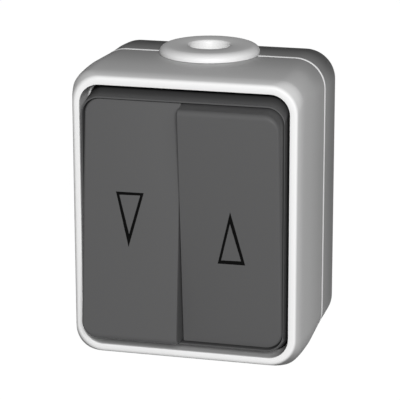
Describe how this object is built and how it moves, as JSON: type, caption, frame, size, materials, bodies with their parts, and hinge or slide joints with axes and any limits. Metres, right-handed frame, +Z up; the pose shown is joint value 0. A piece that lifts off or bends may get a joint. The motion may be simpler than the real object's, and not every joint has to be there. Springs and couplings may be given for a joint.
{
  "type": "roller shutter switch",
  "caption": "Surface-mounted roller shutter switch in a splash-proof box, with two latching rockers marked down and up, and a cable sleeve on top.",
  "frame": {"origin": "on the wall face, behind the centre of the front opening", "axes": "+X to the viewer's right, +Y into the wall, +Z up"},
  "size_m": [0.0658, 0.0517, 0.0845],
  "materials": {
    "housing_grey": "fine satin",
    "base_grey": "fine satin",
    "pale_seal": "matt",
    "entry_grey": "matt",
    "rocker_grey": "satin",
    "frame_grey": "satin",
    "black_rubber": "matt",
    "insert_plastic": "satin",
    "plunger_plastic": "satin",
    "steel": "zinc plated",
    "contact_brass": "bright"
  },
  "bodies": {
    "housing": {"base_box": "base_grey", "hood": "housing_grey", "housing_seal": "pale_seal", "cable_grommet": "entry_grey", "fixing_seal_upper": "black_rubber", "fixing_seal_lower": "black_rubber", "rocker_frame": "frame_grey", "frame_seal": "black_rubber", "rocker_axle": "steel", "fixed_contact_left": "contact_brass", "fixed_contact_right": "contact_brass", "support_plate": "steel", "block_cover": "insert_plastic", "contact_block": "insert_plastic", "common_bar": "contact_brass", "clamp_down": "contact_brass", "clamp_up": "contact_brass", "clamp_line": "contact_brass", "terminal_screw_down": "steel", "terminal_screw_up": "steel", "terminal_screw_line": "steel", "rivet_upper": "contact_brass", "rivet_lower": "contact_brass", "insert_screw_left": "steel", "insert_screw_right": "steel", "hood_screw_left": "steel", "hood_screw_right": "steel"},
    "rocker_left": {"rocker_left": "rocker_grey", "plunger_left": "plunger_plastic", "plunger_spring_left": "steel"},
    "rocker_right": {"rocker_right": "rocker_grey", "plunger_right": "plunger_plastic", "plunger_spring_right": "steel"},
    "lever_left": {"contact_lever_left": "contact_brass"},
    "lever_right": {"contact_lever_right": "contact_brass"}
  },
  "joints": [
    {"name": "rocker_left_tilt", "type": "hinge", "parent": "housing", "child": "rocker_left", "pos_m": [0, -0.0442, 0], "axis": [1, 0, 0], "range_deg": [0, 10.4]},
    {"name": "rocker_right_tilt", "type": "hinge", "parent": "housing", "child": "rocker_right", "pos_m": [0, -0.0442, 0], "axis": [-1, 0, 0], "range_deg": [0, 10.4]},
    {"name": "lever_left_tilt", "type": "hinge", "parent": "housing", "child": "lever_left", "pos_m": [0, -0.02585, 0], "axis": [-1, 0, 0], "range_deg": [0, 16]},
    {"name": "lever_right_tilt", "type": "hinge", "parent": "housing", "child": "lever_right", "pos_m": [0, -0.02585, 0], "axis": [1, 0, 0], "range_deg": [0, 16]}
  ],
  "couplings": [
    {"joint": "lever_left_tilt", "follows": "rocker_left_tilt", "ratio": 1.538},
    {"joint": "lever_right_tilt", "follows": "rocker_right_tilt", "ratio": 1.538}
  ]
}
